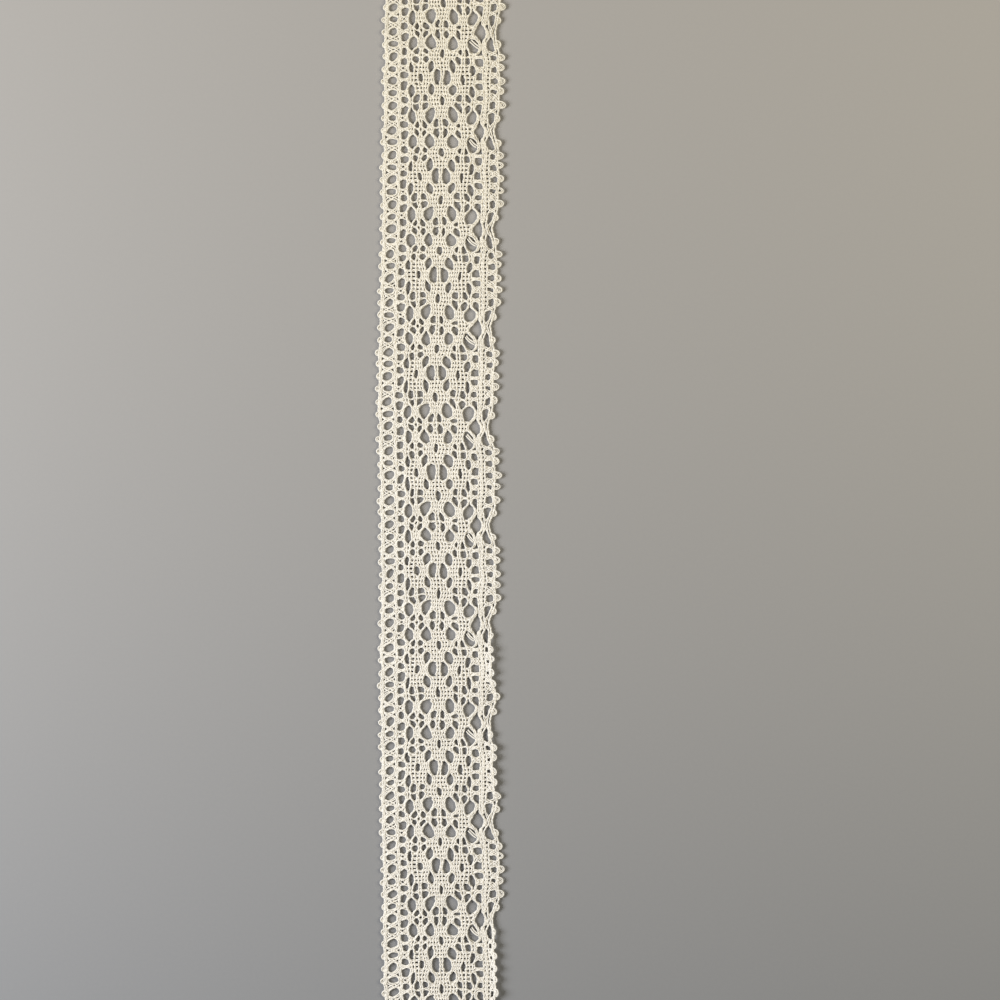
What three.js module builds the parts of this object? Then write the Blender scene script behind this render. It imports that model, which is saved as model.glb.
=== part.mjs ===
// A cut length of cotton bobbin-lace trim, lying flat: a straight ladder edge with small picots
// on the left, an openwork middle of eyes, lenses, drops and diamonds, and a scalloped edge with
// larger picots on the right. One sheet, its larger gaps cut through.
// Millimetres, +Z up. X runs across the trim and Y along it. The origin is under its middle.
import * as THREE from "three";

// Driving sizes.
const REPEAT = 32; // one scallop
const REPEATS = 11;
const THICKNESS = 1.2; // two threads and their twist
const LADDER_PITCH = REPEAT / 8;
const EYE_LINE = 9.1; // Y of the pair of eyes nearest the middle of the length
const TRUNK = -0.45; // X of the middle thread pair, which every "across" below is measured from
const HALF_LENGTH = (REPEAT * REPEATS) / 2;
const END_MARGIN = 0.6; // solid cloth left beyond the last gap or picot at a cut end

// How the strip wanders from side to side as it lies, station by station up its length.
const SWAY = [
  { y: -176, shift: 1.3 },
  { y: -127, shift: 0.7 },
  { y: -94, shift: 0 },
  { y: -63, shift: -0.3 },
  { y: -31, shift: -0.25 },
  { y: 1, shift: -0.4 },
  { y: 33, shift: -0.9 },
  { y: 65, shift: -0.2 },
  { y: 97, shift: 0.5 },
  { y: 129, shift: 0.9 },
  { y: 176, shift: 1.2 },
];

// The gaps of one repeat. "across" is the gap's middle from the trunk, "down" its distance
// towards -Y from the eye line. "lean" raises its right side, "taper" widens its top (or its
// bottom, below zero) and "point" widens its right side, each as a share of its half size.
const GAPS = [
  { across: -1.9, down: 0, wide: 2.4, long: 4.8, taper: 0.1 },
  { across: 2.0, down: 0, wide: 2.5, long: 4.8, taper: -0.2 },
  { across: -3.5, down: -3.9, wide: 1.9, long: 3.4, lean: 0.4 },
  { across: -3.5, down: 3.9, wide: 1.9, long: 3.4, lean: -0.4 },
  { across: 3.4, down: -3.8, wide: 2.3, long: 3.4, lean: -0.4 },
  { across: 3.4, down: 3.8, wide: 2.3, long: 3.4, lean: 0.3 },
  { across: -3.9, down: 12.3, wide: 3.0, long: 4.7, lean: 0.35, taper: 0.45 },
  { across: -3.9, down: 20.0, wide: 3.1, long: 4.6, lean: -0.2, taper: -0.5 },
  { across: 3.7, down: 12.3, wide: 3.2, long: 4.9, lean: -0.3, taper: -0.1 },
  { across: 3.9, down: 20.3, wide: 3.1, long: 4.2, lean: 0.1, taper: -0.4 },
  { across: -9.4, down: 12.4, wide: 2.4, long: 4.5 },
  { across: -9.3, down: 20.6, wide: 2.5, long: 4.5 },
  { across: 9.9, down: 13.4, wide: 3.4, long: 4.0, lean: 0.3 },
  { across: 9.9, down: 21.6, wide: 3.6, long: 4.2, lean: -0.6 },
  { across: 11.9, down: 17.2, wide: 3.2, long: 4.0, point: 0.6 },
  { across: 15.9, down: 13.4, wide: 1.7, long: 3.2, point: -0.3 },
  { across: 15.7, down: 21.5, wide: 1.5, long: 3.2, lean: -0.3 },
  { across: 12.1, down: -0.4, wide: 2.2, long: 2.4 },
  { across: 12.2, down: 9.8, wide: 1.8, long: 2.7 },
];
const GAP_SIDES = 6;
const GAP_SCALE = 1.08; // makes up for what a six-sided outline cuts off a rounded gap

// The ladder's gaps alternate between a flat one and a taller one that leans up to the right.
const LADDER_ACROSS = -15.9;
const LADDER_FIRST_DOWN = 1.1;
const RUNGS = [
  { wide: 3.3, long: 1.8, lean: 0.1 },
  { wide: 3.1, long: 2.5, lean: 0.35 },
];

// The picots: small even loops along the ladder edge, and the scallop's own loops, larger on its
// swell and smaller beside its notch. "foot" is the cloth's edge beside the loop.
const EDGE_PICOT = { tip: -19.9, foot: -18.8, half: 1.3, firstDown: 1.6 };
const SCALLOP = [
  { down: -6.4, tip: 20.3, foot: 18.7, half: 1.3 },
  { down: -3.2, tip: 20.4, foot: 18.9, half: 1.2 },
  { down: 0.9, tip: 20.4, foot: 18.9, half: 1.4 },
  { down: 4.8, tip: 20.3, foot: 18.9, half: 1.4 },
  { down: 9.0, tip: 20.3, foot: 18.6, half: 1.5 },
  { down: 13.5, tip: 18.8, foot: 17.9, half: 1.2 },
  { down: 17.0, tip: 16.8, foot: 17.0, half: 1.0 },
  { down: 21.4, tip: 18.9, foot: 17.8, half: 1.4 },
];
const PICOT_CROWN = 0.45; // width of a picot's blunt tip, as a share of its foot

// The sideways shift of the lie at height y, eased between the stations.
function swayAt(y) {
  const i = SWAY.findIndex((s, n) => n > 0 && y <= s.y);
  const [a, b] = [SWAY[i - 1], SWAY[i]];
  const t = THREE.MathUtils.smoothstep(y, a.y, b.y);
  return THREE.MathUtils.lerp(a.shift, b.shift, t);
}

// A point of the sheet's plan, from its distance across and its height along the trim.
function place(across, y) {
  return new THREE.Vector2(TRUNK + across + swayAt(y), y);
}

// Every height along the trim at which a feature "down" from its eye line falls, top first.
function heights(down, pitch) {
  const first = EYE_LINE - down;
  const highest = first + pitch * Math.floor((HALF_LENGTH - first) / pitch);
  const count = Math.floor((highest + HALF_LENGTH) / pitch) + 1;
  return Array.from({ length: count }, (_, i) => highest - pitch * i);
}

function insideEnds(y, reach) {
  return Math.abs(y) + reach < HALF_LENGTH - END_MARGIN;
}

// One edge of the plan, from the top end to the bottom end: its picots, each with two feet and
// a blunt tip, joined by straight runs of the cloth's edge.
function edge(picots) {
  const points = [];
  for (const { y, tip, foot, half } of picots.sort((a, b) => b.y - a.y)) {
    if (!insideEnds(y, half)) continue;
    const crown = half * PICOT_CROWN;
    points.push(place(foot, y + half), place(tip, y + crown));
    points.push(place(tip, y - crown), place(foot, y - half));
  }
  return points;
}

function ladderEdge() {
  const { firstDown, ...picot } = EDGE_PICOT;
  return edge(heights(firstDown, LADDER_PITCH).map((y) => ({ ...picot, y })));
}

function scallopEdge() {
  return edge(SCALLOP.flatMap((p) => heights(p.down, REPEAT).map((y) => ({ ...p, y }))));
}

// A gap's outline: an ellipse of a few sides, widened towards one end or one side, and sheared.
function gapOutline({ across, wide, long, lean = 0, taper = 0, point = 0 }, y) {
  const start = wide > long ? 0 : Math.PI / GAP_SIDES;
  const corners = Array.from({ length: GAP_SIDES }, (_, i) => {
    const angle = start + (2 * Math.PI * i) / GAP_SIDES;
    const [c, s] = [Math.cos(angle), Math.sin(angle)];
    const dx = (GAP_SCALE * wide * c * (1 + taper * s)) / 2;
    const dy = (GAP_SCALE * long * s * (1 + point * c)) / 2 + lean * dx;
    return place(across + dx, y + dy);
  });
  return new THREE.Path(corners);
}

function gapsOfLadder() {
  return RUNGS.flatMap((rung, i) => {
    const gap = { across: LADDER_ACROSS, ...rung };
    return heights(LADDER_FIRST_DOWN + i * LADDER_PITCH, 2 * LADDER_PITCH)
      .filter((y) => insideEnds(y, rung.long / 2))
      .map((y) => gapOutline(gap, y));
  });
}

function gapsOfRepeat() {
  return GAPS.flatMap((gap) =>
    heights(gap.down, REPEAT)
      .filter((y) => insideEnds(y, (gap.long + Math.abs(gap.lean ?? 0) * gap.wide) / 2))
      .map((y) => gapOutline(gap, y)),
  );
}

// The whole sheet: the two edges joined by straight cut ends, its gaps, and its thickness.
function laceSheet() {
  const left = ladderEdge();
  const right = scallopEdge();
  const corner = (picot, y) => place(picot.foot, y);
  const plan = new THREE.Shape([
    corner(EDGE_PICOT, -HALF_LENGTH),
    corner(SCALLOP[0], -HALF_LENGTH),
    ...right.reverse(),
    corner(SCALLOP[0], HALF_LENGTH),
    corner(EDGE_PICOT, HALF_LENGTH),
    ...left,
  ]);
  plan.holes.push(...gapsOfLadder(), ...gapsOfRepeat());
  return new THREE.ExtrudeGeometry(plan, { depth: THICKNESS, bevelEnabled: false });
}

const cotton = new THREE.MeshStandardMaterial({ color: 0xece3cf, roughness: 0.9, metalness: 0 });
const trim = new THREE.Mesh(laceSheet(), cotton);
trim.name = "lace_trim";

const part = new THREE.Group();
part.add(trim);
export default part;
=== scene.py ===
import bpy
import numpy as np
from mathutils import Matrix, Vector


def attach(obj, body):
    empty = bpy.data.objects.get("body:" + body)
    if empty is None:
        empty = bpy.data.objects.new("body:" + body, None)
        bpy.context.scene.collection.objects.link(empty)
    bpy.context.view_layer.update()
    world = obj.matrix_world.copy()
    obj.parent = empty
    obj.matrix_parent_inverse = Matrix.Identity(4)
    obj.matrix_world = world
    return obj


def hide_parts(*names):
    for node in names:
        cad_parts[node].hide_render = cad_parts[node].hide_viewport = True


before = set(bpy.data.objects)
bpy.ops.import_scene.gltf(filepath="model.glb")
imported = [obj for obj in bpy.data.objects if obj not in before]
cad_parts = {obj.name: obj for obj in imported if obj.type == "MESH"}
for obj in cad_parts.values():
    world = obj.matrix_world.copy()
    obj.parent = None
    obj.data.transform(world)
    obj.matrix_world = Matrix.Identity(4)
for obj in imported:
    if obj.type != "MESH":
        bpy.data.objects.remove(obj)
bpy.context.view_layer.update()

# The pricking of the lace: every 32 mm the threads part round the same eyes, petals, drops and
# diamonds. The trim is cotton bobbin lace made on a machine, and all that holds an opening open
# is the threads that run round it, so the openings are charted first, in millimetres.
REPEAT = 32.0
REPEATS = range(-6, 7)

# across and down are the middle, from the trunk and from the eye line; lean raises the right side,
# taper widens the top and point widens the right side, as shares of the half size
OPENINGS = [
    # across, down, wide, long, lean, taper, point
    (-1.85, -0.1, 2.4, 4.9, 0, 0.1, 0), (1.85, 0, 2.45, 4.8, 0, -0.15, 0),
    (-6.8, 0, 1.25, 2.7, 0, 0, 0), (-3.7, -3.9, 1.9, 3.6, 0.35, 0, 0),
    (-3.5, 3.9, 1.9, 3.5, -0.35, 0, 0), (-10, -3.2, 1.3, 2.9, 0, 0, 0),
    (-9.9, 4.3, 1.5, 3.9, 0.4, 0, 0), (0, 7.7, 1.35, 2.9, 0, 0, 0),
    (0, -7.8, 1.35, 2.8, 0, 0, 0), (-8.4, -5.8, 1.7, 2, 0, 0, 0),
    (-5.4, -6, 1.8, 1.9, 0, 0, 0), (-8.4, 6.8, 1.8, 2.6, 0.4, 0, 0),
    (-5.4, 6.5, 1.8, 1.9, 0, 0, 0), (-8.2, 9.6, 1.7, 1.9, -0.3, 0.3, 0),
    (-5.4, 9.1, 1.9, 2.3, 0.3, 0.3, 0), (-9.5, 12.6, 2.3, 4.5, 0, 0, 0),
    (-3.9, 12.2, 3, 4.8, 0.35, 0.4, 0), (-8.1, 15.3, 1.5, 1.9, 0.4, -0.2, 0),
    (-5.5, 15.2, 1.7, 2.1, -0.3, -0.2, 0), (-6.9, 16.7, 0.6, 0.9, 0, 0, 0),
    (-8.2, 17.8, 1.6, 2, -0.3, 0.2, 0), (-5.5, 17.9, 1.6, 2.1, 0.4, 0.2, 0),
    (-9.4, 20.8, 2.4, 4.4, 0, 0, 0), (-3.9, 20.5, 3, 4.5, -0.15, -0.45, 0),
    (-8.1, 23.5, 1.5, 2, 0.3, 0, 0), (-5.5, 23.3, 1.7, 1.7, 0, 0, 0),
    (-1.8, 14.5, 1.7, 2.5, 0.4, 0, 0), (-1.8, 17.9, 1.8, 2.6, 0, 0, 0),
    (1.25, 14.6, 1.5, 2.4, -0.4, 0, 0), (1.25, 18, 1.5, 2.5, 0, 0, 0),
    (3.4, -3.6, 2.4, 3.9, -0.35, 0, 0), (3.5, 3.9, 2.1, 3.2, 0.35, 0, 0),
    (3.65, 12.1, 3.1, 4.7, -0.3, 0, 0), (3.7, 20.6, 3.1, 4.1, 0, -0.3, 0),
    (5.3, -5.6, 1.7, 2.1, -0.4, 0, 0), (8.5, -5.3, 1.7, 2.1, -0.2, 0, 0),
    (9.9, -2.2, 1.6, 3.1, 0.2, 0, 0), (6.9, 0.6, 1.15, 2.7, 0, 0, 0),
    (9.9, 4.7, 1.5, 3.7, -0.3, 0, 0), (5.5, 6.5, 1.7, 2, 0, 0, 0),
    (8.6, 6.9, 1.7, 2.3, -0.3, 0, 0), (5.5, 9.6, 2, 2.6, -0.6, 0, 0),
    (8.4, 10.4, 1.7, 2.8, 0.2, 0.4, 0), (10, 13.1, 3.5, 4.2, 0.35, 0, 0),
    (5.3, 15.6, 1.9, 1, 0, 0, 0), (5.4, 18.2, 1.9, 2.5, -0.4, 0, 0),
    (12.1, 17.6, 3.4, 4, 0, 0, 0.55), (10.1, 22, 3.4, 4.6, -0.45, 0, 0),
    (5.8, 23.8, 1.1, 1.6, 0, 0, 0), (8.0, 23.9, 1.2, 2.3, -0.5, 0, 0),
]
# the openings between the two sides of each ladder
# down, long, lean
LEFT_LADDER = [(1.0 + 4 * i + i % 4 // 2 * 0.1, 1.75 if i % 2 else 2.6, 0.08 if i % 2 else 0.3)
               for i in range(8)]
INNER_LADDER = [(-5.3, 2.2, 0), (-1, 2.1, 0), (2.4, 2.9, 0.3), (7.2, 2.1, 0),
                (10.4, 2.5, 0.3), (15.1, 2.2, 0), (18.7, 2.5, 0.3), (23.4, 2.3, 0)]
# down, wide, long
RIGHT_LADDER = [(-7.2, 1.9, 1), (-5.0, 2.1, 2.7), (-0.1, 2.1, 2.6), (2.9, 2.3, 2.1),
                (6.9, 2, 1.7), (10.2, 1.8, 2.9)]
# the openings between the trail and the scalloped edge: along its swell, and beside its notch
# across, down, wide, long, lean
HEADING = [(16.95, -6, 1.6, 1.1, 0), (17.1, -2.6, 1.85, 1.7, 0), (17.1, 1.2, 1.6, 1.8, 0),
           (17.0, 4.8, 1.5, 1.2, -0.4), (16.9, 8.8, 1.35, 1.9, 0)]
NOTCH = [(15.9, 13.0, 1.5, 3.0, 0), (14.1, 15.6, 0.6, 1.5, 0), (14.2, 19.9, 0.6, 1.4, 0),
         (15.5, 21.3, 1.8, 3.3, 0)]


class Opening:
    """One opening between threads, with rounded sides."""

    SQUARE = 0.85
    STRAY = 0.05

    def __init__(self, across, down, wide, long, lean=0, taper=0, point=0):
        self.across, self.down, self.wide, self.long = across, down, wide, long
        self.lean, self.taper, self.point = lean, taper, point

    def outline(self, sides=40):
        turn = np.arange(sides) / sides * 2 * np.pi
        c, s = (np.sign(v) * np.abs(v) ** self.SQUARE for v in (np.cos(turn), np.sin(turn)))
        over = self.wide / 2 * c * (1 + self.taper * s)
        up = self.long / 2 * s * (1 + self.point * c) + self.lean * over
        return np.stack([self.across + over, self.down - up], 1)

    def half_height(self, over, spare=0.0):
        """Half the opening's height at a distance over from its middle."""
        share = np.clip(over / (self.wide / 2), -1, 1)
        high = self.long / 2 * (1 + self.point * share)
        side = np.clip(np.abs(over) / (self.wide / 2 + spare), 0, 1)
        return high * (1 - side ** (2 / self.SQUARE)) ** (self.SQUARE / 2)

    def sides_at(self, down):
        """Its left and right side at each down; nan above and below."""
        low, high = np.full(down.shape, np.nan), np.full(down.shape, np.nan)
        edge = self.outline()
        for (x0, a), (x1, b) in zip(edge, np.roll(edge, -1, 0)):
            met = (min(a, b) <= down) & (down < max(a, b))
            x = x0 + (down[met] - a) / (b - a if b != a else 1) * (x1 - x0)
            low[met], high[met] = np.fmin(low[met], x), np.fmax(high[met], x)
        return low, high

    def again(self, repeat, hand):
        """The same opening in another repeat, no two quite alike."""
        a, b, c, d, e = np.clip(hand.normal(0, 1, 5), -2, 2)
        return Opening(self.across + self.STRAY * a, self.down + REPEAT * repeat + 0.08 * b,
                       self.wide * (1 + self.STRAY * c), self.long * (1 + self.STRAY * d),
                       self.lean + self.STRAY * e, self.taper, self.point)


charts = {
    "cloth": [Opening(*row) for row in OPENINGS],
    "left": [Opening(-15.85, d, 3.1, n, lean) for d, n, lean in LEFT_LADDER],
    "inner": [Opening(-12.0, d, 2.05, n, lean) for d, n, lean in INNER_LADDER],
    "right": [Opening(12.05, d, w, n) for d, w, n in RIGHT_LADDER],
    "heading": [Opening(*row) for row in HEADING],
    "notch": [Opening(*row) for row in NOTCH],
}
hand = np.random.default_rng(7)
repeated = {name: [[gap.again(k, hand) for gap in chart] for k in REPEATS]
            for name, chart in charts.items()}
# the stretches where the scalloped edge has rolled up a little, which all but shuts its openings
ROLLED = [(53, 70), (83, 103), (147, 185)]
SHUT_WIDE, SHUT_LONG = 0.5, 0.6
for gap in sum(repeated["heading"], []):
    if any(start < gap.down < end for start, end in ROLLED):
        gap.wide, gap.long = gap.wide * SHUT_WIDE, gap.long * SHUT_LONG
openings = [gap for repeats in repeated.values() for one in repeats for gap in one]

# The courses: where each pair of passive threads runs from top to bottom, and how it settles
# between the openings, pushed aside by them and by its neighbours, and pulled straight again by
# its own tension. The scallops of the right edge pull the courses near it inwards.
COURSES = {
    "edge_l": -18.4, "s_l": -17.95, "a_l": -17.6, "a_r": -14.1, "s_r": -13.75, "b_l": -13.15,
    "b_r": -10.8, "w1": -10.3,
    "w2": -9.2, "w3": -7.65, "w4": -6.2, "w5": -4.9, "w6": -4.2, "w7": -2.9, "w8": -2.1,
    "w9": -0.65, "w10": 0.65, "w11": 2.1, "w12": 2.9, "w13": 4.4, "w14": 5.2, "w15": 6.3,
    "w16": 7.65, "w17": 9.1, "w18": 10.45, "h_l": 10.95, "h_r": 13.1, "t1": 14.1, "t2": 14.55,
    "e_l": 15.6, "e_r": 18.1, "edge_r": 18.55,
}
# how much of the scallop's line each of the courses beside it takes
FOLLOWS_EDGE = {"edge_r": 1, "e_r": 1.5, "e_l": 0.55, "t2": 0.45, "t1": 0.35, "h_r": 0.2}
EDGE_DOWN = [0, 10.5, 13.5, 17, 21.3, 24, 32]
EDGE_ACROSS = [18.6, 18.5, 17.8, 16.75, 17.7, 18.5, 18.6]
SPACING = REPEAT / 96
station = np.arange(REPEAT * REPEATS[0], REPEAT * (REPEATS[-1] + 1), SPACING)
edge_course = np.interp(station % REPEAT, EDGE_DOWN, EDGE_ACROSS)


def settle_courses(turns=900, clear=0.4, straighten=0.28, stiffness=0.04, home=0.012,
                   apart=0.22, give=0.6):
    """Every course at every station, once the openings have pushed the threads aside."""
    names = list(COURSES)
    rest = np.repeat(np.array(list(COURSES.values()))[:, None], len(station), 1)
    for name, share in FOLLOWS_EDGE.items():
        rest[names.index(name)] += share * (edge_course - COURSES["edge_r"] - 0.05)
    held = ("edge_l", "s_l", "a_l", "a_r", "s_r", "edge_r")
    fixed = np.array([n in held for n in names])[:, None]
    pitch = np.array([{"w": 0.9, "s": 0.25, "t": 0.45}.get(n[0], 0.6) for n in names])
    pitch = np.minimum(pitch[:-1], pitch[1:])[:, None]
    # openings that share no station are pushed open together, as one column
    columns = []
    for gap in sorted(openings, key=lambda gap: gap.across):
        at = int(round((gap.down - station[0]) / SPACING))
        near = np.arange(max(at - 30, 0), min(at + 30, len(station)))
        low, high = gap.sides_at(station[near])
        inside = ~np.isnan(low)
        met, low, high = near[inside], low[inside], high[inside]
        if not len(met):
            continue
        left_of = rest[:, met[len(met) // 2]] < gap.across
        free = next((c for c in columns if not c[0][met].any()), None)
        if free is None:
            free = (np.zeros(len(station), bool), [])
            columns.append(free)
        free[0][met] = True
        free[1].append((np.repeat(left_of[:, None], len(met), 1), low - gap.across,
                        high - gap.across, met, np.full(len(met), gap.across)))
    columns = [[np.concatenate(parts, -1) for parts in zip(*rows)] for _, rows in columns]
    x = rest.copy()
    for turn in range(turns):
        opened = min(1.0, turn / (0.5 * turns))
        bend = np.roll(x, 1, 1) + np.roll(x, -1, 1) - 2 * x
        stiff = np.roll(bend, 1, 1) + np.roll(bend, -1, 1) - 2 * bend
        x = x + straighten * bend - stiffness * stiff + home * (rest - x)
        push = apart * np.maximum(0, pitch - np.diff(x, axis=0))
        x[:-1] -= push
        x[1:] += push
        for left_of, low, high, met, middle in columns:
            here = x[:, met]
            near, far = middle + low * opened - clear, middle + high * opened + clear
            here = np.where(left_of & (here > near), here + give * (near - here), here)
            here = np.where(~left_of & (here < far), here + give * (far - here), here)
            x[:, met] = here
        x = np.where(fixed, rest, x)
    return dict(zip(names, x))


settled = settle_courses()


def course(name, down):
    """How far across a course is at each down."""
    return np.interp(down, station, settled[name])


# The cotton: a cream, unbleached two-ply yarn about half a millimetre thick, soft and matt. Its
# twist shows as slanting ridges, with painted shade in the line between them. It is a little
# fuzzy and uneven in tone from one stretch to the next, and has painted shade where it lies deep
# between its neighbours, darker the lower it lies.
CREAM = (0.80, 0.76, 0.705)
# the darker tone of the yarn, which is also the painted shade in the line between its plies
DARK_TONE_AND_GROOVE_SHADE = (0.54, 0.5, 0.43)
# painted shade: the colour of the yarn where it lies low between its neighbours
DEPTH_SHADE_COLOUR = (0.3, 0.25, 0.17)
# painted light: the warm tint laid over the top end of the length
WARM_LIGHT_TINT = (0.985, 0.96, 0.88)
PLY_TURN = 1.5
FUZZ_SCALE, PATCH_SCALE = 5200.0, 95.0
RIDGE_DEPTH = 0.00007


class Dye:
    """A socket of a node tree. Sums and products of it add their Math nodes."""

    def __init__(self, tree, socket=None):
        self.tree, self.socket = tree, socket

    def node(self, kind, settings=(), **values):
        made = self.tree.nodes.new(kind)
        for name, value in dict(settings).items():
            if name == "stops":
                for _ in range(len(value) - len(made.color_ramp.elements)):
                    made.color_ramp.elements.new(0.5)
                for stop, (place, colour) in zip(made.color_ramp.elements, value):
                    stop.position, stop.color = place, (*colour, 1)
            else:
                setattr(made, name, value)
        for name, value in values.items():
            key = int(name[1:]) if name[0] == "_" else name.replace("_", " ")
            if isinstance(value, Dye):
                self.tree.links.new(value.socket, made.inputs[key])
            else:
                made.inputs[key].default_value = value
        return made

    def out(self, made, key=0):
        return Dye(self.tree, made.outputs[key])

    def sum(self, operation, *values):
        return self.out(self.node("ShaderNodeMath", {"operation": operation},
                                  **{f"_{i}": v for i, v in enumerate(values)}))

    def __add__(self, other):
        return self.sum("ADD", self, other)

    def __sub__(self, other):
        return self.sum("SUBTRACT", self, other)

    def __rsub__(self, other):
        return self.sum("SUBTRACT", other, self)

    def __mul__(self, other):
        return self.sum("MULTIPLY", self, other)

    __radd__, __rmul__ = __add__, __mul__


def cotton():
    made = bpy.data.materials.new("cream_cotton")
    made.use_nodes = True
    made.node_tree.nodes.clear()
    dye = Dye(made.node_tree)
    along = dye.node("ShaderNodeUVMap", {"uv_map": "ply"})
    split = dye.node("ShaderNodeSeparateXYZ", Vector=dye.out(along))
    length, round_it = dye.out(split, "X"), dye.out(split, "Y")
    ply = (length * (1 / PLY_TURN) + round_it) * np.pi * 2
    # the slant of the plies shapes the bump, and darkens the line between them as painted shade
    ridge = dye.sum("ABSOLUTE", dye.sum("COSINE", ply))
    place = dye.out(dye.node("ShaderNodeTexCoord"), "Object")
    fuzz = dye.node("ShaderNodeTexNoise", Vector=place, Scale=FUZZ_SCALE, Detail=3.0,
                    Roughness=0.7)
    patch = dye.node("ShaderNodeTexNoise", Vector=place, Scale=PATCH_SCALE, Detail=2.0,
                     Roughness=0.5)
    where = dye.node("ShaderNodeSeparateXYZ", Vector=place)
    # painted shade: the lower the yarn lies, the darker it is made
    painted_depth_shade = dye.sum("MAXIMUM", 1 - dye.out(where, "Z") * 1300, 0.0)
    shade = dye.out(fuzz) * 0.35 + ridge * 0.45 + dye.out(patch) * 0.35 - painted_depth_shade * 0.6
    tone = dye.node("ShaderNodeValToRGB", {"stops": [(0.0, DEPTH_SHADE_COLOUR), (0.2, DARK_TONE_AND_GROOVE_SHADE), (0.62, CREAM)]},
                    Fac=shade)
    # painted light: the top end of the length is tinted warmer, for the warmer light that falls
    # there
    painted_warm_light = dye.node("ShaderNodeMix", {"data_type": "RGBA", "blend_type": "MULTIPLY"},
                    _0=dye.out(where, "Y") * 5.5 + 0.1, _6=dye.out(tone, "Color"),
                    _7=(*WARM_LIGHT_TINT, 1))
    bump = dye.node("ShaderNodeBump", Strength=0.5, Distance=RIDGE_DEPTH,
                    Height=ridge + dye.out(fuzz) * 0.5)
    rough = dye.out(fuzz) * 0.12 + 0.8
    shader = dye.node("ShaderNodeBsdfPrincipled", Base_Color=dye.out(painted_warm_light, 2),
                      Roughness=rough, Normal=dye.out(bump), Specular_IOR_Level=0.25,
                      Sheen_Weight=0.35, Sheen_Roughness=0.5)
    dye.node("ShaderNodeOutputMaterial", Surface=dye.out(shader))
    return made


cream_cotton = cotton()

# The twisted passive pairs: two yarns wound round each other, a half turn for each row, running
# the length of the strip between the openings. They are the warp of the trim, and the outer pair
# at each side is its edge.
LENGTH = 352.0
CUT_END = 175.9
EYE_LINE = 9.1
TRUNK = -0.4
MIDDLE = 0.72
YARN = 0.475
ROWS = 24
ROW = REPEAT / ROWS
# how the strip wanders from side to side as it lies
SWAY_AT = [-176, -127, -94, -63, -31, 1, 33, 65, 97, 129, 176]
SWAY_BY = [1.3, 0.7, 0, -0.3, -0.25, -0.4, -0.9, -0.2, 0.5, 0.9, 1.2]
# where the scalloped edge has rolled up: how much narrower it lies, and how far that lifts it
DRAWN_AT = [-176, -140, -133, -98, -92, -76, -71, -63, -59, -54, -46, -41, 176]
DRAWN_BY = [0.5, 0.5, 0, 0, 0.35, 0.35, 0, 0, 0.3, 0.45, 0.5, 0, 0]
DRAWN_FROM = 15.3
DRAWN_LIFT = 0.5
SIDES = 5
STEP = 0.52
PAIR_HALF = 0.165
PAIR_LIFT = 0.18
UNEVENNESS = 0.5
LUMP_SCALE = 260.0
PATH_GAP = 0.0016

chance = np.random.default_rng(11)
# slow waves that pull the whole strip a little out of true
drift = [(chance.normal(0, 0.5, 2), chance.uniform(0, 6.28, 2), chance.normal(0, 0.09, 2))
         for _ in range(9)]


def eased(y, at, by):
    """Values given at some places along the strip, with smooth changes between them."""
    i = np.clip(np.searchsorted(at, y) - 1, 0, len(at) - 2)
    a, b = np.take(at, i), np.take(at, i + 1)
    t = np.clip((y - a) / (b - a), 0, 1)
    t = t * t * (3 - 2 * t)
    return np.take(by, i) * (1 - t) + np.take(by, i + 1) * t


def lay_down(path):
    """A path of (across, down, up) where it lies in the part, pulled a little out of true."""
    across, down, up = path.T
    y = EYE_LINE - down
    drawn = np.maximum(across - DRAWN_FROM, 0) * eased(y, DRAWN_AT, DRAWN_BY)
    x = TRUNK + across + eased(y, SWAY_AT, SWAY_BY) - drawn
    up = up + DRAWN_LIFT * drawn
    x0, y0 = x.copy(), y.copy()
    for wave, phase, much in drift:
        x = x + much[0] * np.sin(wave[0] * x0 + wave[1] * y0 + phase[0])
        y = y + much[1] * np.sin(wave[1] * x0 - wave[0] * y0 + phase[1])
    return np.stack([x, y, up], 1)


def even_steps(path, closed):
    """The path with its points a step apart."""
    if closed:
        path = np.concatenate([path, path[:1]])
    far = np.concatenate([[0], np.cumsum(np.linalg.norm(np.diff(path, axis=0), axis=1))])
    count = max(5, int(round(far[-1] / STEP)))
    at = np.linspace(0, far[-1], count + 1)
    path = np.stack([np.interp(at, far, path[:, k]) for k in range(3)], 1)
    return path[:-1] if closed else path


def wobble(path, much=0.05):
    """A slow shake of the hand, which no two yarns share."""
    soft = np.hanning(7)[1:-1] / np.hanning(7).sum()
    shake = chance.normal(0, much, (len(path) + 4, 3)) * (1, 1, 0.3)
    return path + np.stack([np.convolve(v, soft, "valid") for v in shake.T], 1)


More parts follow.
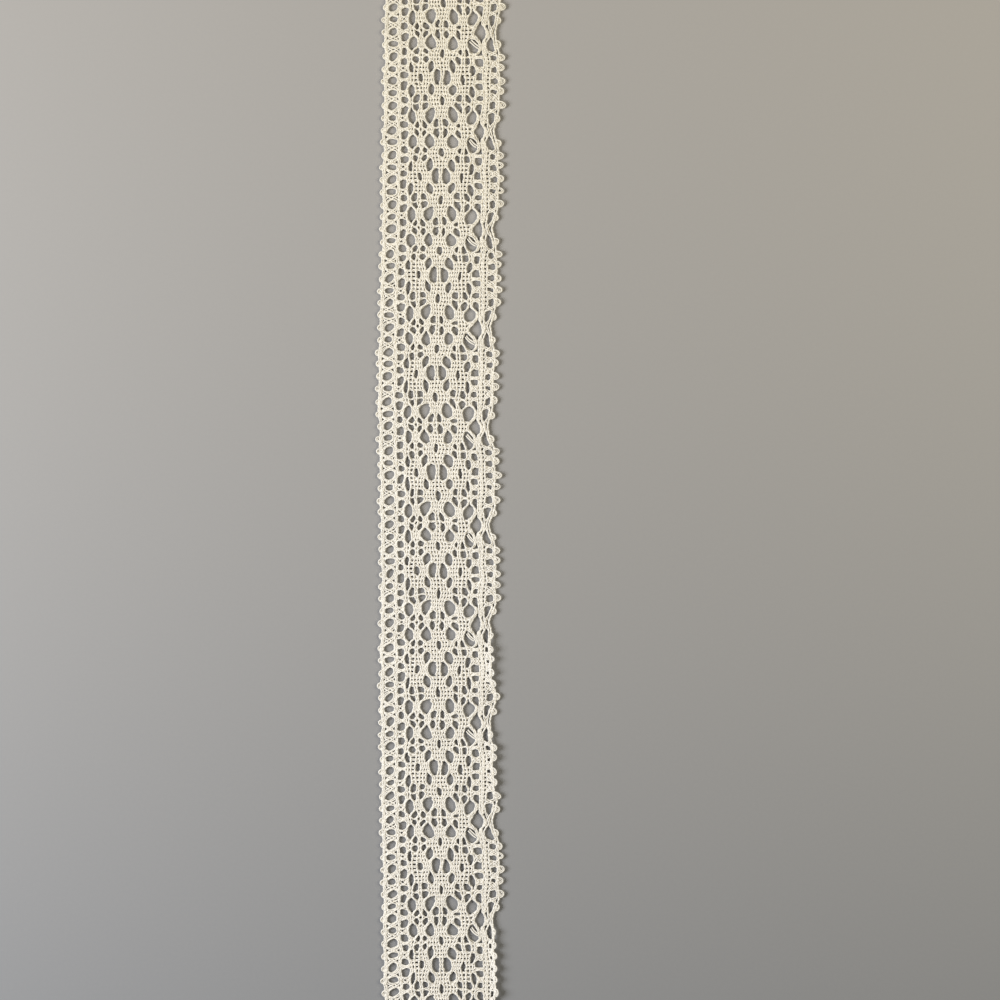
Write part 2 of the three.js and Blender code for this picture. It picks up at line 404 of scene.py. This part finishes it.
def yarn_tree():
    """Geometry nodes that sweep a yarn along every path and note its length and its turn."""
    tree = bpy.data.node_groups.new("yarn_along_paths", "GeometryNodeTree")
    face = tree.interface
    face.new_socket("Geometry", in_out="OUTPUT", socket_type="NodeSocketGeometry")
    for name, kind in (("Geometry", "Geometry"), ("Yarn thickness", "Float"), ("Sides", "Int"),
                       ("Unevenness", "Float"), ("Cotton", "Material")):
        face.new_socket(name, in_out="INPUT", socket_type="NodeSocket" + kind)
    net = Dye(tree)
    given = net.node("NodeGroupInput")
    put = net.out
    paths = net.node("GeometryNodeMeshToCurve", Mesh=put(given, "Geometry"))
    long = net.node("GeometryNodeSplineLength")
    before = net.node("GeometryNodeAccumulateField", {"domain": "CURVE"},
                      Value=put(long) + PATH_GAP)
    start = net.node("GeometryNodeFieldOnDomain", {"domain": "CURVE"},
                     Value=put(before, "Trailing"))
    done = net.node("GeometryNodeSplineParameter")
    marked = net.node("GeometryNodeStoreNamedAttribute", Geometry=put(paths), Name="along",
                      Value=put(done, "Length") + put(start))
    lumps = net.node("ShaderNodeTexNoise", {"noise_dimensions": "1D"},
                     W=put(done, "Length") + put(start), Scale=LUMP_SCALE, Detail=1.0)
    girth = net.node("GeometryNodeCurvePrimitiveCircle", Resolution=put(given, "Sides"),
                     Radius=put(given, "Yarn thickness") * 0.5)
    turn = net.node("GeometryNodeSplineParameter")
    ring = net.node("GeometryNodeStoreNamedAttribute", Geometry=put(girth), Name="around",
                    Value=put(turn, "Factor"))
    swept = net.node("GeometryNodeCurveToMesh", Curve=put(marked), Profile_Curve=put(ring),
                     Scale=(put(lumps) - 0.5) * put(given, "Unevenness") + 1.0, Fill_Caps=True)
    smooth = net.node("GeometryNodeSetShadeSmooth", Geometry=put(swept))
    whole = net.node("GeometryNodeRealizeInstances", Geometry=put(smooth))
    dyed = net.node("GeometryNodeSetMaterial", Geometry=put(whole), Material=put(given, "Cotton"))
    net.node("NodeGroupOutput", Geometry=put(dyed))
    return tree


yarn_along_paths = yarn_tree()


def unwrap(mesh):
    """Two maps: the yarns cut into rows for a bake, and length and turn for the ply."""
    corner = np.empty(len(mesh.loops), np.int32)
    mesh.loops.foreach_get("vertex_index", corner)
    sides = np.empty(len(mesh.polygons), np.int32)
    mesh.polygons.foreach_get("loop_total", sides)
    first = np.concatenate([[0], np.cumsum(sides)[:-1]])
    read = {}
    for name in ("along", "around"):
        read[name] = np.empty(len(mesh.vertices), np.float32)
        mesh.attributes[name].data.foreach_get("value", read[name])
    along = read["along"][corner].astype(float) * 1000
    around = read["around"][corner].astype(float)
    face = np.repeat(np.arange(len(sides)), sides)
    wide = np.maximum.reduceat(around, first) - np.minimum.reduceat(around, first)
    around = np.where((wide[face] > 0.5) & (around < 0.5), around + 1, around)
    high, low = np.maximum.reduceat(along, first), np.minimum.reduceat(along, first)
    closing = (high - low)[face] > 3 * STEP
    along = np.where(closing & (along < (high + low)[face] / 2), high[face] + STEP, along)
    cap = (sides != 4)[face]
    ahead = read["along"][np.minimum(corner + SIDES, len(mesh.vertices) - 1)] * 1000 - along
    at_start = cap & (ahead > 0) & (ahead < 3 * STEP)
    turn = around * 2 * np.pi
    ply = np.stack([along, around], 1)
    along = along + cap * (np.where(at_start, -0.5, 0.5) + 0.2 * np.cos(turn))
    around = np.where(cap, 0.5 + 0.12 * np.sin(turn), around)
    room, margin = 0.9, 0.012
    total = high.max() + 2
    rows = int(np.ceil(np.sqrt(total / (np.pi * YARN * 1.2))))
    row_length = total / rows
    middle = (np.add.reduceat(along, first) / sides)[face] + room
    row = np.floor(middle / row_length)
    u = margin + (1 - 2 * margin) * ((along + room) / row_length - row)
    v = (row + 0.1 + 0.8 * around) / rows
    for name, uv in (("OFBake", np.stack([u, v], 1)), ("ply", ply)):
        layer = mesh.uv_layers.new(name=name)
        layer.data.foreach_set("uv", uv.astype(np.float32).ravel())
    for name in ("along", "around"):
        mesh.attributes.remove(mesh.attributes[name])
    mesh.uv_layers["OFBake"].active_render = True


def grow(piece, tree, **given):
    """Runs a tree on the piece and leaves the result as its plain mesh."""
    nodes = piece.modifiers.new("nodes", "NODES")
    nodes.node_group = tree
    named = {s.name: s.identifier for s in tree.interface.items_tree if s.in_out == "INPUT"}
    for name, value in given.items():
        nodes[named[name.replace("_", " ")]] = value
    seen = bpy.context.evaluated_depsgraph_get()
    mesh = bpy.data.meshes.new_from_object(
        piece.evaluated_get(seen), preserve_all_data_layers=True, depsgraph=seen)
    piece.modifiers.clear()
    old, piece.data = piece.data, mesh
    bpy.data.meshes.remove(old)
    unwrap(mesh)
    mesh.name = piece.name
    return piece


def spin(name, paths, closed=False):
    """One piece of yarns: every path laid in place, swept and given its material."""
    points, edges, start = [], [], 0
    for path in paths:
        laid = wobble(even_steps(lay_down(path), closed))
        if not closed:
            laid = laid[np.abs(laid[:, 1]) <= CUT_END]
        elif np.abs(laid[:, 1]).max() > CUT_END:
            continue
        n = len(laid)
        index = np.arange(n) + start
        links = np.stack([index, np.roll(index, -1)], 1)
        edges.append(links if closed else links[:-1])
        points.append(laid)
        start += n
    mesh = bpy.data.meshes.new(name + "_paths")
    mesh.from_pydata(np.concatenate(points) / 1000, np.concatenate(edges), [])
    piece = bpy.data.objects.new(name, mesh)
    bpy.context.scene.collection.objects.link(piece)
    grow(piece, yarn_along_paths, Yarn_thickness=YARN / 1000, Sides=SIDES, Unevenness=UNEVENNESS,
         Cotton=cream_cotton)
    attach(piece, "root")
    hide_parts("lace_trim")
    return piece


def twisted_pair(name, begin):
    """The two yarns of one pair, wound round each other along its course."""
    down = np.arange(-ROWS * 16, ROWS * 18) * ROW / 3
    down = down[(down > EYE_LINE - LENGTH / 2 - 2) & (down < EYE_LINE + LENGTH / 2 + 2)]
    turn = np.pi * down / ROW + begin
    return [np.stack([course(name, down) + s * PAIR_HALF * np.cos(turn), down,
                      MIDDLE + s * PAIR_LIFT * np.sin(turn)], 1) for s in (1, -1)]


pairs = [n for n in COURSES if n[0] in "wst" or n in ("edge_l", "edge_r")]
halves = pairs[:len(pairs) // 2], pairs[len(pairs) // 2:]
passives = [spin("passive_pairs_" + side,
                 [p for i, n in enumerate(some) for p in twisted_pair(n, np.pi * (i % 2))])
            for side, some in zip(("left", "right"), halves)]

# The ladders: two pairs that change places between one opening and the next, crossing in a cloth
# stitch that makes the rung, with two ladders on the left and two on the right. Worker loops bind
# the rungs or run round the openings, and two loose threads cross one drop of each repeat.
FLOATED = OPENINGS.index((10.1, 22, 3.4, 4.6, -0.45, 0, 0))
CLOTH_LIFT = 0.24
RIM_ROOM = 0.27


def change_places(left, right, crossings):
    """The four yarns of one ladder. A crossing is (down, height it takes, how far it spreads)."""
    fine = 0.2
    down = np.arange(-200, 216, fine)
    down = down[(down > EYE_LINE - LENGTH / 2 - 2) & (down < EYE_LINE + LENGTH / 2 + 2)]
    swaps, crossing = np.zeros(len(down)), np.zeros(len(down))
    spread = np.full(len(down), PAIR_HALF)
    for d, tall, wide in crossings:
        v = (down - d) / tall
        t = np.clip(v + 0.5, 0, 1)
        swaps += t * t * (3 - 2 * t)
        crossing = np.maximum(crossing, np.clip(1.15 - 1.3 * np.abs(v), 0, 1))
        inside = PAIR_HALF + (wide - PAIR_HALF) * np.clip(1.3 - 1.6 * np.abs(v), 0, 1)
        spread = np.where(np.abs(v) < 0.8, inside, spread)
    share = np.abs(swaps % 2 - 1)
    low, high = course(left, down), course(right, down)
    made = []
    for side, there in ((1, share), (-1, 1 - share)):
        x = low + (high - low) * there
        slope = np.gradient(x, down)
        length = np.sqrt(1 + slope ** 2)
        far = np.cumsum(length) * fine
        reach = np.full(len(down), 99.0)
        for d, _, _ in crossings:
            if down[0] - 3 < d < down[-1] + 3:
                off = far - np.interp(d, down, far)
                reach = np.where(np.abs(off) < np.abs(reach), off, reach)
        weave = np.sin(np.clip(np.pi * reach / 1.3, -np.pi, np.pi))
        turn = np.pi * down / ROW
        for q in (1, -1):
            beside = q * spread * (np.cos(turn) * (1 - crossing) + crossing)
            up = (side * q * CLOTH_LIFT * weave * crossing
                  + q * PAIR_LIFT * np.sin(turn) * (1 - crossing))
            made.append(np.stack([x + beside / length, down - beside * slope / length,
                                  MIDDLE + up], 1))
    return made


def rung(above, below, left, right):
    """A worker that runs along the foot of one opening and back along the head of the next."""
    middle = (above.down + below.down) / 2
    x0, x1 = course(left, middle) - 0.15, course(right, middle) + 0.15
    x = np.linspace(x0, x1, max(6, int((x1 - x0) / 0.3)))

    def edge(gap, side):
        over = np.clip(x - gap.across, -0.42 * gap.wide, 0.42 * gap.wide)
        return gap.down - gap.lean * over + side * gap.half_height(over)

    top, bottom = edge(above, 1) + RIM_ROOM, edge(below, -1) - RIM_ROOM
    half = np.maximum((bottom - top) / 2, 0.12)
    half = half * np.clip(np.minimum(x - x0, x1 - x) / 0.5, 0.25, 1)
    ripple = 0.22 * np.cos(np.arange(len(x)) * 0.9)
    there = np.stack([x, (top + bottom) / 2 - half, MIDDLE + ripple], 1)
    back = np.stack([x, (top + bottom) / 2 + half, MIDDLE - ripple], 1)
    return np.concatenate([there, back[::-1]])


def rim(gap):
    """A worker loop laid close round one opening."""
    points = 24
    loop = Opening(gap.across, gap.down, gap.wide + 0.3, gap.long + 0.5, gap.lean)
    flat = loop.outline(points)
    wave = CLOTH_LIFT * np.cos(np.arange(points) / points * 6 * np.pi)
    return np.column_stack([flat, MIDDLE + wave])


def ladder(repeats, left, right, least, spread, more=(), rims=False):
    """A ladder's yarns and worker loops. With no more crossings, it runs on unbroken."""
    runs = repeats if more else [sum(repeats, [])]
    neighbours = [pair for run in runs for pair in zip(run, run[1:])]
    crossings = [(d + REPEAT * k, tall, wide) for k in REPEATS for d, tall, wide in more]
    for above, below in neighbours:
        top, bottom = above.down + above.long / 2, below.down - below.long / 2
        crossings.append(((top + bottom) / 2, max(bottom - top, least), spread(bottom - top)))
    if rims:
        return change_places(left, right, crossings), [rim(gap) for run in runs for gap in run]
    return (change_places(left, right, crossings),
            [rung(above, below, left, right) for above, below in neighbours])


def float_across(gap):
    """Two threads that run side by side across the top right of a drop."""
    for step in (0.0, 0.62):
        t = np.linspace(-1, 1, 9)
        x = gap.across + 0.72 - 0.72 * step + 1.3 * t
        y = gap.down - 1.0 + 0.8 * step + 1.15 * t + 0.3 * (1 - t * t)
        yield np.stack([x, y, MIDDLE + 0.2 * t], 1)


sides = [
    ladder(repeated["left"], "a_l", "a_r", 2.2, lambda tall: 0.4 if tall > 1.85 else 0.26,
           rims=True),
    ladder(repeated["inner"], "b_l", "b_r", 1.1, lambda tall: 0.5 if tall > 1.5 else 0.24),
    ladder(repeated["right"], "h_l", "h_r", 1.0, lambda tall: 0.28, [(12.7, 1.6, 0.26)]),
    ladder(repeated["heading"], "e_l", "e_r", 1.2, lambda tall: 0.3,
           [(11.0, 1.6, 0.3), (17.0, 4.9, 0.3), (24.2, 1.6, 0.3)]),
]
floats = [thread for one in repeated["cloth"] for gap in one[FLOATED::len(OPENINGS)]
          for thread in float_across(gap)]
ladder_pairs = spin("ladder_pairs", [yarn for yarns, _ in sides for yarn in yarns] + floats)
rung_workers = spin("rung_workers", [loop for _, loops in sides for loop in loops], True)

# The worker rows: a pair that runs from side to side over and under the passive pairs, turns at
# the rim of each opening, and comes back on the other side of them. It packs the cloth between
# the openings.
HOLD = 0.55
RIM_CLEAR = 0.27
OVER_UNDER = 0.36
TURN_ROOM = 0.32
TURN_END = 0.14


def worker_rows(left, right, passed, least, begin=0):
    """A row is cut where an opening lies across it, and bends round the rest."""
    loops = []
    middles = np.array([gap.down for gap in openings])
    soft = np.hanning(9) / np.hanning(9).sum()
    for row in range(ROWS * REPEATS[0], ROWS * (REPEATS[-1] + 1)):
        down = row * ROW
        if abs(EYE_LINE - down) > LENGTH / 2 + 1:
            continue
        x = np.arange(course(left, down), course(right, down), 0.1)
        shut = np.zeros(len(x), bool)
        top, bottom = np.full(len(x), -9.0), np.full(len(x), 9.0)
        for gap in [openings[i] for i in np.flatnonzero(np.abs(middles - down) < 6)]:
            off, over = gap.down - down, x - gap.across
            met = np.abs(over) < gap.wide / 2 + 0.1
            if abs(off) > gap.long / 2 + 2.5 or not met.any():
                continue
            high = gap.half_height(over, 0.1)
            upper, lower = off - gap.lean * over - high, off - gap.lean * over + high
            above = met & (lower < HOLD)
            below = met & (upper > -HOLD) & ~above
            top = np.where(above, np.maximum(top, lower), top)
            bottom = np.where(below, np.minimum(bottom, upper), bottom)
            shut |= met & ~above & ~below
        shut |= bottom - top < 0.1
        half = np.clip((bottom - top - YARN) / 2, 0.06, 0.2)
        low, high = top + half + RIM_CLEAR, bottom - half - RIM_CLEAR
        bend = np.where(low > high, (low + high) / 2, np.clip(0, low, high))
        bend = np.where(shut, 0, bend)
        bend, half = (np.convolve(np.pad(v, 4, "edge"), soft, "valid") for v in (bend, half))
        change = np.flatnonzero(np.diff(np.concatenate([[1], shut, [1]])))
        for i, j in zip(change[::2], change[1::2]):
            x0, x1 = x[i], x[j - 1]
            if x1 - x0 < least:
                continue
            at = np.linspace(x0 + TURN_ROOM, x1 - TURN_ROOM, max(5, int((x1 - x0) / 0.3)))
            place = np.interp(at, [course(n, down) for n in passed], np.arange(len(passed)))
            up = (1 if (row + begin) % 2 else -1) * OVER_UNDER * np.cos(np.pi * place)
            mid, far = down + np.interp(at, x, bend), np.interp(at, x, half)
            turns = [np.array([[end, down + np.interp(where, x, bend), MIDDLE]])
                     for end, where in ((x1 - TURN_END, x1), (x0 + TURN_END, x0))]
            loops.append(np.concatenate([np.stack([at, mid - far, MIDDLE + up], 1), turns[0],
                                         np.stack([at, mid + far, MIDDLE - up], 1)[::-1],
                                         turns[1]]))
    return loops


cloth = worker_rows("b_r", "h_l", [n for n in COURSES if n[0] == "w"], 1.7)
cloth_left = [p for p in cloth if p[:, 0].mean() < 0]
cloth_right = [p for p in cloth if p[:, 0].mean() >= 0]
heading_rows = worker_rows("h_r", "e_l", ["h_r", "t1", "t2", "e_l"], 1.2, 1)
workers = [spin("worker_rows_left", cloth_left, True),
           spin("worker_rows_right", cloth_right, True),
           spin("worker_rows_edge", heading_rows, True)]

# The picots: small loops of yarn, one inside another, that stand out from both edges. They are
# made as the worker turns round a pin, small on the left and larger on the scallops.
ROOT_IN, ROOT_UP = 0.45, 0.2

# down, foot, tip, half; a foot of 0 is on the scalloped edge
PICOTS_LEFT = [(1.3 + 4 * i, -18.4, -19.7, 0.88) for i in range(8)]
PICOTS_RIGHT = [(-6.5, 0, 20.5, 1.08), (-3.4, 0, 20.4, 1.02), (1.1, 0, 20.6, 1.12),
                (4.6, 0, 20.5, 1.08), (8.9, 0, 20.5, 1.12), (13.5, 0, 19.1, 1.05),
                (21.3, 0, 19.2, 1.08)]


def picot(down, foot, tip, half):
    """The loops of one picot, from the outer one in."""
    foot = foot or np.interp(down, station, edge_course) - 0.05
    side = np.sign(tip)
    reach = abs(tip) - abs(foot) - YARN / 2
    turn = np.linspace(0, np.pi, 15)
    made = []
    shares = ((1.0, 1), (0.62, -1), (0.24, 1)) if half > 1 else ((1.0, 1), (0.6, -1))
    for share, way in shares:
        x = foot + side * reach * (0.25 + 0.75 * share) * np.sin(turn) ** 0.8
        y = down - half * share * np.sign(np.cos(turn)) * np.abs(np.cos(turn)) ** 1.1
        z = MIDDLE + way * (0.08 + 0.12 * np.cos(turn))
        root = half * share
        made.append(np.concatenate([[[foot - side * ROOT_IN, down - root, MIDDLE - ROOT_UP]],
                                    np.stack([x, y, z], 1),
                                    [[foot - side * ROOT_IN, down + root, MIDDLE + ROOT_UP]]]))
    return made


picots = spin("picots", [
    loop for k in REPEATS for down, foot, tip, half in PICOTS_LEFT + PICOTS_RIGHT
    for loop in picot(down + REPEAT * k + hand.normal(0, 0.1), foot, tip + hand.normal(0, 0.07),
                      half * (1 + hand.normal(0, 0.06)))])

# The table: a plain, pale, matt board under the trim, with a faint grain. Its colour drifts slowly
# along the trim as painted light, from a brighter, warmer grey at the top, where the light is
# stronger, to a cooler and darker one as the light fades towards the foot.
TABLE_SIZE = 3.0
# painted light: the brighter, warmer tone of the top end, and the darker, cooler foot below
TABLE_LIT_TOP = (0.343, 0.325, 0.311)
TABLE_SHADED_FOOT = (0.22, 0.222, 0.234)
GRAIN_SCALE = 900.0

mesh = bpy.data.meshes.new("table_top")
h = TABLE_SIZE / 2
mesh.from_pydata([(-h, -h, 0), (h, -h, 0), (h, h, 0), (-h, h, 0)], [], [(0, 1, 2, 3)])
table_top = bpy.data.objects.new("table_top", mesh)
bpy.context.scene.collection.objects.link(table_top)
board = bpy.data.materials.new("pale_board")
board.use_nodes = True
board.node_tree.nodes.clear()
net = Dye(board.node_tree)
place = net.out(net.node("ShaderNodeTexCoord"), "Object")
up = net.out(net.node("ShaderNodeSeparateXYZ", Vector=place), "Y")
grain = net.out(net.node("ShaderNodeTexNoise", Vector=place, Scale=GRAIN_SCALE, Detail=4.0))
# painted light: the board is made lighter and warmer towards the top
tone = net.node("ShaderNodeValToRGB", {"stops": [(0.0, TABLE_SHADED_FOOT), (1.0, TABLE_LIT_TOP)]},
                Fac=up * 2.8 + grain * 0.1 + 0.5)
shader = net.node("ShaderNodeBsdfPrincipled", Base_Color=net.out(tone, "Color"), Roughness=0.85,
                  Specular_IOR_Level=0.2)
net.node("ShaderNodeOutputMaterial", Surface=net.out(shader))
mesh.materials.append(board)

# The light comes from two soft panels, a cool one on the left and a weaker, warmer one on the
# right, with a dim fill from all round. The camera looks straight down, with the strip left of
# the middle of its frame.
FRAME_WIDTH = 0.325
CAMERA_ACROSS = 0.01935
CAMERA_HEIGHT = 0.7
SENSOR = 36.0
PANEL_SIZE = 0.4
ROOM_FILL = 0.128


def panel(name, place, power, colour):
    """A square soft light that faces the middle of the trim."""
    light = bpy.data.lights.new(name, "AREA")
    light.shape, light.size, light.energy, light.color = "SQUARE", PANEL_SIZE, power, colour
    made = bpy.data.objects.new(name, light)
    bpy.context.scene.collection.objects.link(made)
    made.location = place
    made.visible_camera = False
    made.rotation_euler = (-Vector(place)).to_track_quat("-Z", "Y").to_euler()


panel("soft_panel", (-0.624, -0.045, 0.46), 8.65, (0.97, 0.99, 1.0))
panel("warm_panel", (0.471, 0.102, 0.46), 2.63, (1.0, 0.93, 0.725))
world = bpy.data.worlds.new("room")
world.use_nodes = True
world.node_tree.nodes["Background"].inputs["Color"].default_value = (1, 1, 1, 1)
world.node_tree.nodes["Background"].inputs["Strength"].default_value = ROOM_FILL
bpy.context.scene.world = world
lens = bpy.data.cameras.new("camera")
lens.sensor_width, lens.lens = SENSOR, SENSOR * CAMERA_HEIGHT / FRAME_WIDTH
camera = bpy.data.objects.new("camera", lens)
bpy.context.scene.collection.objects.link(camera)
camera.location = (CAMERA_ACROSS, 0, CAMERA_HEIGHT)
bpy.context.scene.camera = camera
bpy.context.scene.view_settings.view_transform = "Standard"
